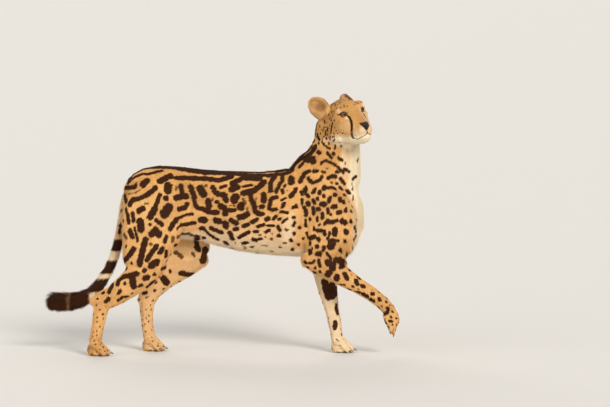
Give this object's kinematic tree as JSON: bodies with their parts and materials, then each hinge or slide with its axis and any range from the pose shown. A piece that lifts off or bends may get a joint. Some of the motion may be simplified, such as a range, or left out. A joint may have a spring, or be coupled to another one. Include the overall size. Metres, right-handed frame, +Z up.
{
  "type": "king cheetah figure",
  "caption": "Life-size still model of a walking king cheetah, head turned to its right and one forepaw lifted, with a blotched and striped coat.",
  "frame": {"origin": "centre of the bounding box, on the floor under the paws", "axes": "+X towards the chest and head, +Y to the animal's left, +Z up"},
  "size_m": [1.449, 0.285, 1.0602],
  "materials": {
    "coat": "short dense fur, tawny with near-black blotches and stripes, cream below",
    "eye": "glossy amber-brown glass eye with a round black pupil",
    "claw": "smooth dark horn"
  },
  "bodies": {
    "root": {"head": "coat", "neck": "coat", "trunk": "coat", "tail": "coat", "right_ear": "coat", "left_ear": "coat", "right_foreleg": "coat", "left_foreleg": "coat", "right_hind_leg": "coat", "left_hind_leg": "coat", "right_eye": "eye", "left_eye": "eye", "right_fore_claw_1": "claw", "right_fore_claw_2": "claw", "right_fore_claw_3": "claw", "right_fore_claw_4": "claw", "left_fore_claw_1": "claw", "left_fore_claw_2": "claw", "left_fore_claw_3": "claw", "left_fore_claw_4": "claw", "right_hind_claw_1": "claw", "right_hind_claw_2": "claw", "right_hind_claw_3": "claw", "right_hind_claw_4": "claw", "left_hind_claw_1": "claw", "left_hind_claw_2": "claw", "left_hind_claw_3": "claw", "left_hind_claw_4": "claw", "right_fore_dewclaw": "claw", "left_fore_dewclaw": "claw"}
  },
  "joints": []
}
